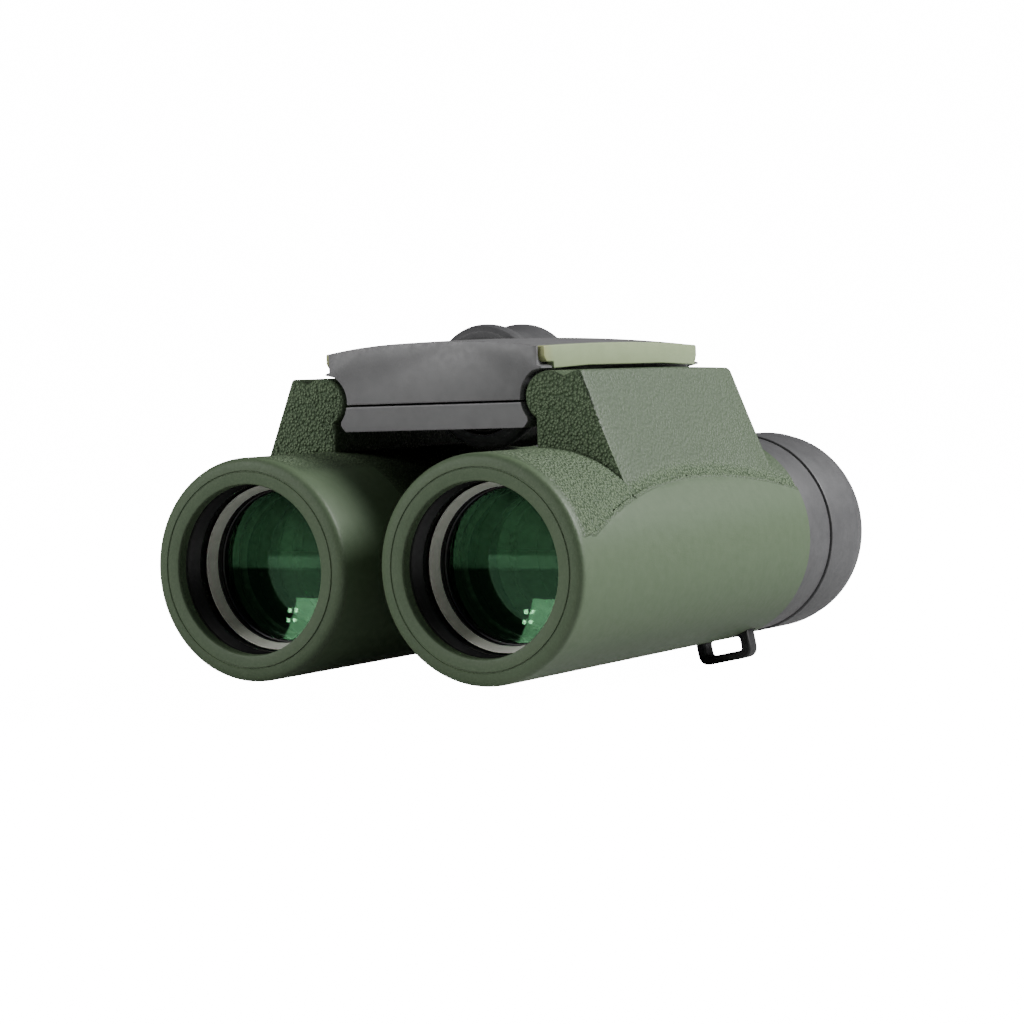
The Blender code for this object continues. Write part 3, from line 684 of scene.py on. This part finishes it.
def hinge_pocket():
    """Room round the hinge axis for the bridge frame's lugs."""
    outline = arc((0.0, HINGE_HEIGHT), 8.0, 219, 105, 2)
    return outline + arc((0.0, HINGE_HEIGHT), 3.3, 105, -141, 24)


def riser_hollow():
    """Inside of the riser, where the chassis core fits."""
    radius, inner, foot = KNUCKLE_RADIUS - ARMOUR_WALL, RISER_INNER + ARMOUR_WALL, 8.0
    top = HINGE_HEIGHT + radius
    meet = math.degrees(math.acos(inner / radius))
    slope = math.tan(RISER_SLOPE)
    corner = (RISER_PLANE - ARMOUR_WALL - top * math.sin(RISER_SLOPE)) / math.cos(RISER_SLOPE)
    outline = [(inner, foot)] + arc((0.0, HINGE_HEIGHT), radius, 360 - meet, 90, 8)
    outline += [(min(out, corner - 0.3), top - depth) for out, depth in reversed(NOTCH)]
    return outline + [(corner, top), (corner + (top - foot) * slope, foot)]


def strap_lug_point(across, down):
    """From a strap lug's own measures, hung 11 degrees outwards, to (out, up)."""
    lean = math.radians(11.0)
    out = across * math.cos(lean) + down * math.sin(lean)
    return out, across * math.sin(lean) - down * math.cos(lean)


def strap_lug_box(half_width, top, bottom, corner=0.0):
    corners = [(-half_width, top), (half_width, top), (half_width, bottom), (-half_width, bottom)]
    outline = rounded([(*point, corner) for point in corners]) if corner else corners
    return [strap_lug_point(across, down) for across, down in outline]


def make_armour():
    tools = [extruded(riser_hollow(), RISER[0] + ARMOUR_WALL, RISER[1] - ARMOUR_WALL),
             extruded(hinge_pocket(), *POCKET),
             extruded(strap_lug_box(5.3, 14.0, 19.0), 74.7, 78.3)]
    cutters = [mesh_of(tool, on_barrel=True) for tool in tools]
    mesh = cut_away(mesh_of(armour_shape(), on_barrel=True), cutters)
    show_pair("armour_skin", mesh, ["green_rubber"], "{side}_barrel", "{side}_armour", sharp_angle=28.0)


# ---------------------------------------------------------------- front optics

def lens(radius, front, back, front_bulge, back_bulge):
    """A lens between two rim stations; a positive bulge swells outwards."""
    rings = 14
    profile = [(radius * share, front - front_bulge * (1 - share ** 2)) for share in spread(0, 1, rings)]
    profile += [(radius * share, back + back_bulge * (1 - share ** 2)) for share in spread(1, 0, rings)]
    return turned(profile, COARSE, closed=False)


def make_front_optics():
    bore, thread_depth, pitch = 13.3, 0.22, 0.5
    cell = [(14.6, 2.3), (14.6, 19.5), (12.0, 19.5), (12.0, 18.2), (bore, 18.2)]
    station = 5.9
    while station > 2.9:
        cell += [(bore, station), (bore + thread_depth, station - pitch / 2)]
        station -= pitch
    cell += [(bore, 2.7, 0.1), (bore + 0.2, 2.3)]
    front = "{side}_barrel"
    show_pair("objective_housing", mesh_of(turned(rounded(cell)), True), ["black_aluminium"], front,
              "{side}_objective_cell")
    retainer = rounded([(12.8, 7.2, 0.05), (13.0, 7.2), (13.0, 9.2, 0.1), (12.1, 9.2, 0.1),
                        (12.3, 8.6, 0.2)])
    show_pair("bright_ring", mesh_of(turned(retainer), True), ["bare_aluminium"], front,
              "{side}_objective_retainer")
    spacer = rounded([(12.5, 9.5, 0.1), (13.0, 9.5), (13.0, 11.7), (11.9, 11.7, 0.1), (11.9, 10.6, 0.1),
                      (12.15, 10.5, 0.05), (12.15, 10.2, 0.05)])
    show_pair("black_spacer", mesh_of(turned(spacer), True), ["black_aluminium"], front,
              "{side}_objective_spacer")
    show_pair("front_lens", mesh_of(lens(13.0, 12.2, 14.4, 1.1, 1.2), True), ["coated_glass"], front,
              "{side}_objective_crown", sharp_angle=50.0)
    show_pair("second_lens", mesh_of(lens(13.0, 14.7, 17.8, -1.2, -0.4), True), ["prism_glass"], front,
              "{side}_objective_flint", sharp_angle=50.0)
    show_pair("focusing_lens", mesh_of(lens(10.1, 26.2, 31.1, -1.3, -1.1), True), ["prism_glass"],
              "{side}_focus_unit", "{side}_focus_lens", sharp_angle=50.0)


# ---------------------------------------------------------------- eyepiece end

def make_eyepieces():
    lens_bodies = {"left": "left_barrel", "right": "right_eyepiece"}
    sleeve = rounded([(12.4, 77.3), (14.3, 77.3), (14.3, 81.3), (13.6, 81.3), (13.6, 103.6, 0.3),
                      (12.4, 103.6, 0.3)])
    show_pair("cup_sleeve", mesh_of(turned(sleeve, COARSE), True), ["black_aluminium"], "{side}_barrel",
              "{side}_eyecup_sleeve")
    tube = rounded([(11.0, 74.6), (12.1, 74.6), (12.1, 101.4, 0.4), (9.6, 101.4, 0.3), (9.6, 100.9, 0.1),
                    (10.1, 100.3), (11.0, 100.3)])
    show_pair("lens_tube", mesh_of(turned(tube, COARSE), True), ["black_aluminium"], lens_bodies,
              "{side}_eyepiece_tube")
    show_pair("inner_eye_lens", mesh_of(lens(10.7, 77.0, 79.6, 0.2, 1.2), True), ["prism_glass"],
              lens_bodies, "{side}_field_lens", sharp_angle=50.0)
    show_pair("outer_eye_lens", mesh_of(lens(10.7, 94.0, 99.0, 1.3, 0.9), True), ["coated_glass"],
              lens_bodies, "{side}_eye_lens", sharp_angle=50.0)
    collar = rounded([(13.9, 81.9), (17.0, 81.9, 0.2), (17.0, SEAM[0], 0.2), (13.9, SEAM[0])])
    show_pair("collar", mesh_of(turned(collar), True), ["dark_rubber"],
              {"left": "left_barrel", "right": "dioptre_ring"},
              {"left": "left_eyepiece_ring", "right": "dioptre_ring"})
    guide = rounded([(13.9, 94.0, 0.2), (15.1, 94.0, 0.2), (15.1, 97.5, 0.2), (13.9, 97.5, 0.2)])
    show_pair("guide_ring", mesh_of(turned(guide, COARSE), True), ["black_plastic"], "{side}_eyecup_guide",
              "{side}_eyecup_guide")
    rib, channel, mouth, back = 14.2, 15.4, 11.7, BODY_LENGTH
    cup = [(rib, SEAM[1]), (17.3, SEAM[1], 0.25), (17.3, 100.0), (17.28, 102.5, 2.0), (16.85, 105.4, 2.0),
           (15.5, back, 1.6), (12.9, back, 0.9), (mouth, 105.9, 0.6), (mouth, 104.2, 0.2), (rib, 104.2),
           (rib, 97.8), (channel, 97.8), (channel, 93.7), (rib, 93.7)]
    show_pair("cup", mesh_of(turned(rounded(cup)), True), ["dark_rubber"], "{side}_eyecup", "{side}_eyecup")


# ---------------------------------------------------------------- strap lugs

def make_strap_lugs():
    half_width, root, reach, corner = 5.0, 16.4, 21.3, 2.0
    outline = [(half_width, root), (half_width, reach, corner), (-half_width, reach, corner),
               (-half_width, root)]
    outline = [strap_lug_point(*point) for point in rounded(outline, steps=6)]
    slot = extruded(strap_lug_box(3.3, 17.5, 19.9, corner=0.6), 74.0, 79.0)
    mesh = cut_away(mesh_of(extruded(outline, 75.0, 78.0), True), [mesh_of(slot, True)])
    ease_edges(show_pair("strap_loop", mesh, ["black_plastic"], "{side}_barrel", "{side}_strap_lug"), 0.3)


# ---------------------------------------------------------------- bridge

def top_height(x):
    return TOP_MIDDLE - (TOP_MIDDLE - TOP_CORNER) * (abs(x) / COVER_HALF_WIDTH) ** 2.5


def crown_at(station):
    """Lift of the bridge's top at a station, highest in the middle and lowest at the rear."""
    middle, half_length = (BRIDGE[0] + BRIDGE[1]) / 2, (BRIDGE[1] - BRIDGE[0]) / 2
    away = (station - middle) / half_length
    fall = CROWN + REAR_FALL if away > 0 else CROWN
    return CROWN - fall * away ** 2


def scallop(radius, start_height, end_height, steps):
    """Points down the hollow side that clears a knuckle, by height."""
    points = []
    for height in spread(start_height, end_height, steps):
        points.append((BARREL_X - math.sqrt(radius ** 2 - (height - HINGE_HEIGHT) ** 2), height))
    return points


def both_sides(right_half):
    return right_half + [(-x, height) for x, height in reversed(right_half)]


def crowned(shape, top_above):
    """Divide a shape along the bridge and lift what lies above a height to the crown."""
    for station in spread(*BRIDGE, 14)[1:-1]:
        everything = shape.verts[:] + shape.edges[:] + shape.faces[:]
        bmesh.ops.bisect_plane(shape, geom=everything, plane_co=(0, station, 0), plane_no=(0, 1, 0))
    for vertex in shape.verts:
        if vertex.co.z > top_above:
            vertex.co.z += crown_at(vertex.co.y)
    return shape


def wheel_window(half_width, low, high):
    room = 1.0
    outline = rounded([(WHEEL[0] - room, -half_width, 1.2), (WHEEL[1] + room, -half_width, 1.2),
                       (WHEEL[1] + room, half_width, 1.2), (WHEEL[0] - room, half_width, 1.2)])
    corners = [(across, station, low) for station, across in outline]
    return drawn_out(bmesh.new(), corners, (0, 0, high - low))


def lug_window(side):
    edges = sorted((side * 12.0, side * 18.2))
    return block(edges, (POCKET[0] - GAP, POCKET[1] + GAP), (22.2, 28.8))


def trim_outline(grow, top):
    """Side view of a trim strip: (station, height) points under a given top line."""
    front, back = TRIM[0] - grow, TRIM[1] + grow
    step, low, bowed, upper_low = 26.4 - grow, 29.65 - grow, 30.05 - grow, 30.7 - grow
    lower = [(back, 31.2, 0.5), (back - 0.8, low, 0.35), (64.0, bowed, 6.0), (38.0, bowed, 6.0),
             (step, low, 0.3), (step, upper_low, 0.25), (front + 0.8, upper_low, 0.7), (front, 31.6, 0.7)]
    return rounded(top + lower, steps=3)


def stood_up(shape, turn):
    """Turn a spun shape from lying along the barrels to standing upright."""
    quarter = Matrix.Rotation(turn * math.pi / 2, 3, "X")
    bmesh.ops.rotate(shape, verts=shape.verts, cent=(0, 0, 0), matrix=quarter)
    return shape


def at_end(edge, station):
    return all(abs(vertex.co.y - station) < 0.01 for vertex in edge.verts)


def make_top_cover():
    outside = [(x, top_height(x)) for x in spread(0.6, COVER_HALF_WIDTH, 16)]
    outside += [(COVER_HALF_WIDTH, 30.25), (LIP_X, 30.05), (LIP_X, 29.75)]
    outside += scallop(SCALLOP_RADIUS, 29.4, SEAM_TOP, 16)
    shape = extruded(both_sides(outside), *BRIDGE)
    rims = bevel_where(shape, lambda edge: at_end(edge, BRIDGE[0]) or at_end(edge, BRIDGE[1]), 0.42, 2)
    for face in rims:
        centre = face.calc_center_median()
        face.material_index = 1 if centre.z > TOP_CORNER - 0.9 and abs(centre.x) < 19.0 else 0
    inside = [(x, top_height(x) - COVER_WALL) for x in spread(2.0, 17.2, 6)]
    inside += scallop(SCALLOP_RADIUS + COVER_WALL, 30.35, SEAM_TOP - 1, 8)
    hollow = extruded(both_sides(inside), BRIDGE[0] + COVER_WALL, BRIDGE[1] - COVER_WALL)
    tools = [crowned(hollow, 30.6), wheel_window(8.5, 30.0, 40.0)]
    tools += [lug_window(side) for side in (-1, 1)]
    for side in (-1, 1):
        seat = trim_outline(GAP, [(TRIM[0] - GAP, 36.0), (TRIM[1] + GAP, 36.0)])
        tools.append(side_profile(seat, side * 18.5, side * 22.0))
    mesh = cut_away(mesh_of(crowned(shape, 31.5)), [mesh_of(tool) for tool in tools])
    show("upper_shell", mesh, ["grey_shell", "shadow_edge"], "bridge", ["top_cover"])


def make_bottom_cover():
    outside = scallop(SCALLOP_RADIUS, SEAM_BOTTOM, 22.3, 8)
    outside += rounded([outside[-1], (17.2, 21.6, 0.5), (16.4, UNDERSIDE, 0.6), (-16.4, UNDERSIDE)],
                       closed=False)[1:-1]
    shape = extruded(both_sides(outside), *BRIDGE)

    def lower_rim(edge):
        low = all(vertex.co.z < UNDERSIDE + 0.05 for vertex in edge.verts)
        return low and (at_end(edge, BRIDGE[0]) or at_end(edge, BRIDGE[1]))

    bevel_where(shape, lower_rim, 0.9, 5)

    def upper_rim(edge):
        high = all(abs(vertex.co.z - SEAM_BOTTOM) < 0.05 for vertex in edge.verts)
        return high and (at_end(edge, BRIDGE[0]) or at_end(edge, BRIDGE[1]))

    bevel_where(shape, upper_rim, 0.18, 2)
    inside = scallop(SCALLOP_RADIUS + COVER_WALL, SEAM_BOTTOM + 1, UNDERSIDE + COVER_WALL, 8)
    tools = [extruded(both_sides(inside), BRIDGE[0] + COVER_WALL, BRIDGE[1] - COVER_WALL)]
    tools += [wheel_window(9.2, 18.0, 23.0)]
    tools += [lug_window(side) for side in (-1, 1)]
    for x, station in SCREWS:
        seat = turned([(0, 0), (2.0, 0), (2.0, 3.15), (0, 3.15)], COARSE, closed=False)
        tools.append(moved(stood_up(seat, 1), x, station, 18.0))
    mesh = cut_away(mesh_of(shape), [mesh_of(tool) for tool in tools])
    show("lower_shell", mesh, ["grey_shell"], "bridge", ["bottom_cover"])


def make_trims():
    top = [(station, TOP_CORNER + crown_at(station)) for station in spread(*TRIM, 16)]
    top[0] = (*top[0], 0.4)
    top[-1] = (*top[-1], 0.5)
    strip = side_profile(trim_outline(0.0, top), 18.8, 20.1)
    bevel_where(strip, lambda edge: all(vertex.co.x > 20.05 for vertex in edge.verts), 0.3, 3)
    mesh = mesh_of(strip)
    for side, sign in SIDES:
        piece_mesh = mesh if sign > 0 else mirrored(mesh)
        show(f"{side}_trim_strip", piece_mesh, ["pale_trim"], "bridge", [f"{side}_trim"])


def make_screws():
    """Cross-recess heads in the lower cover, each with its shank."""
    head, shank = 1.7, 0.8
    low = UNDERSIDE + 0.15
    profile = rounded([(0, low), (head, low, 0.2), (head, UNDERSIDE + 0.55), (shank, UNDERSIDE + 0.55),
                       (shank, 26.0, 0.2), (0, 26.0)], closed=False)
    for number, (x, station) in enumerate(SCREWS, start=1):
        screw = turned([(radius, -height) for radius, height in profile], COARSE, closed=False)
        stood_up(screw, -1)
        arms = [block((-1.0, 1.0), (-0.2, 0.2), (low - 1, low + 0.35)),
                block((-0.2, 0.2), (-1.0, 1.0), (low - 1, low + 0.35))]
        tools = [mesh_of(moved(arm, x, station)) for arm in arms]
        mesh = cut_away(mesh_of(moved(screw, x, station)), tools)
        show(f"screw_{number}", mesh, ["steel"], "bridge", [f"cover_screw_{number}"])


# ---------------------------------------------------------------- focus wheel

def make_wheel():
    front, back = WHEEL
    radius = WHEEL_RADIUS
    waist = radius - 1.1
    grip = [(7.7, front, 0.1), (9.0, front, 0.3), (radius - 0.35, front + 0.5, 0.5),
            (radius, front + 1.3, 0.6), (radius, front + 2.4, 1.2),
            (waist, front + 5.6, 4.0), (waist, back - 5.0, 4.0),
            (radius, back - 2.3, 1.0), (radius, back - 0.9, 0.6), (9.4, back, 0.4), (7.7, back)]
    wheel = moved(turned(rounded(grip, steps=6)), 0, 0, WHEEL_HEIGHT)
    show("wheel_grip", mesh_of(wheel), ["dark_rubber"], "focus_wheel", ["focus_wheel_grip"])
    hub = [(1.8, front + 1.2), (3.0, front + 1.2, 0.2), (3.4, front + 0.6, 0.2), (6.6, front + 0.6, 0.2),
           (6.9, front + 0.3, 0.1), (7.4, front + 0.3, 0.1), (7.4, back - 0.3, 0.1), (6.9, back - 0.3, 0.1),
           (6.6, back - 0.7, 0.2), (3.4, back - 0.7, 0.2), (3.0, back - 1.2, 0.2), (1.8, back - 1.2)]
    core = moved(turned(rounded(hub), COARSE), 0, 0, WHEEL_HEIGHT)
    show("wheel_core", mesh_of(core), ["black_plastic"], "focus_wheel", ["focus_wheel_hub"])


# ---------------------------------------------------------------- assembly

make_armour()
make_front_optics()
make_eyepieces()
make_strap_lugs()
make_top_cover()
make_bottom_cover()
make_trims()
make_screws()
make_wheel()

for row in frame["record"]["subparts"]:
    kept = frame["nodes"][row["node"]]
    if not kept.hide_render:
        for material_slot in kept.material_slots:
            material_slot.material = FINISHES[row["material_slot"]]


# ---------------------------------------------------------------- setting, light and camera

BACKDROP = 16.0


def make_floor():
    """Pale floor, self-lit to the camera alone so that it runs into the backdrop."""
    shape = bmesh.new()
    bmesh.ops.create_circle(shape, cap_ends=True, segments=96, radius=6.0)
    mesh = bpy.data.meshes.new("floor")
    shape.to_mesh(mesh)
    shape.free()
    material = bpy.data.materials.new("floor_paint")
    material.use_nodes = True
    shader = material.node_tree.nodes["Principled BSDF"]
    shader.inputs["Base Color"].default_value = (0.50, 0.50, 0.50, 1.0)
    shader.inputs["Roughness"].default_value = 0.9
    shader.inputs["Emission Color"].default_value = (1.0, 1.0, 1.0, 1.0)
    tree = material.node_tree
    straight = node(tree, "LightPath").outputs["Is Camera Ray"]
    glow = node(tree, "Math", {0: straight, 1: BACKDROP}, operation="MULTIPLY").outputs[0]
    tree.links.new(glow, shader.inputs["Emission Strength"])
    mesh.materials.append(material)
    floor = bpy.data.objects.new("floor", mesh)
    bpy.context.scene.collection.objects.link(floor)


def area_light(name, azimuth, elevation, distance, size, watts):
    """A soft square light on a sphere round the binocular, aimed at it."""
    centre = (cad_box[0] + cad_box[1]) / 2
    turn, lift = math.radians(azimuth), math.radians(elevation)
    away = Vector((math.sin(turn) * math.cos(lift), -math.cos(turn) * math.cos(lift), math.sin(lift)))
    data = bpy.data.lights.new(name, "AREA")
    data.shape = "SQUARE"
    data.size = size
    data.energy = watts
    light = bpy.data.objects.new(name, data)
    light.location = centre + away * distance
    light.rotation_euler = (-away).to_track_quat("-Z", "Y").to_euler()
    bpy.context.scene.collection.objects.link(light)
    return light


def make_light():
    """Key from behind on the right, lamps and a fill from the front left, and a dim room."""
    sky = bpy.data.worlds.new("studio")
    bpy.context.scene.world = sky
    sky.use_nodes = True
    tree = sky.node_tree
    seen = node(tree, "Background", {"Color": (1.0, 1.0, 1.0, 1.0), "Strength": BACKDROP})
    room = tree.nodes["Background"]
    room.inputs["Color"].default_value = (1.0, 1.0, 1.0, 1.0)
    room.inputs["Strength"].default_value = 0.06
    straight = node(tree, "LightPath").outputs["Is Camera Ray"]
    mix = node(tree, "MixShader", {0: straight, 1: room.outputs[0], 2: seen.outputs[0]})
    tree.links.new(mix.outputs[0], tree.nodes["World Output"].inputs["Surface"])
    area_light("right_key", 118, 33, 0.8, 0.26, 11.0)
    area_light("top_panel", 30, 75, 0.9, 0.6, 0.7)
    area_light("left_fill", -50, 30, 1.0, 0.6, 3.9).visible_glossy = False
    for turn in (-34.0, -29.5):
        for lift in (19.5, 25.0):
            area_light("lamp", turn, lift, 1.0, 0.040, 0.8)


def make_camera():
    azimuth, elevation, roll = math.radians(29.64), math.radians(2.468), math.radians(-1.979)
    look = Vector((-math.sin(azimuth) * math.cos(elevation), math.cos(azimuth) * math.cos(elevation),
                   -math.sin(elevation)))
    level = Vector((math.cos(azimuth), math.sin(azimuth), 0.0))
    upright = level.cross(look)
    right = level * math.cos(roll) + upright * math.sin(roll)
    up = right.cross(look)
    data = bpy.data.cameras.new("camera")
    data.sensor_width = 36.0
    data.lens = 105.9
    data.dof.use_dof = False
    camera = bpy.data.objects.new("camera", data)
    across, back, above = 245.87, -438.66, 49.23
    camera.location = Vector((across, back, above)) * MM
    camera.rotation_euler = Matrix((right, up, -look)).transposed().to_euler()
    bpy.context.scene.collection.objects.link(camera)
    bpy.context.scene.camera = camera


make_floor()
make_light()
make_camera()
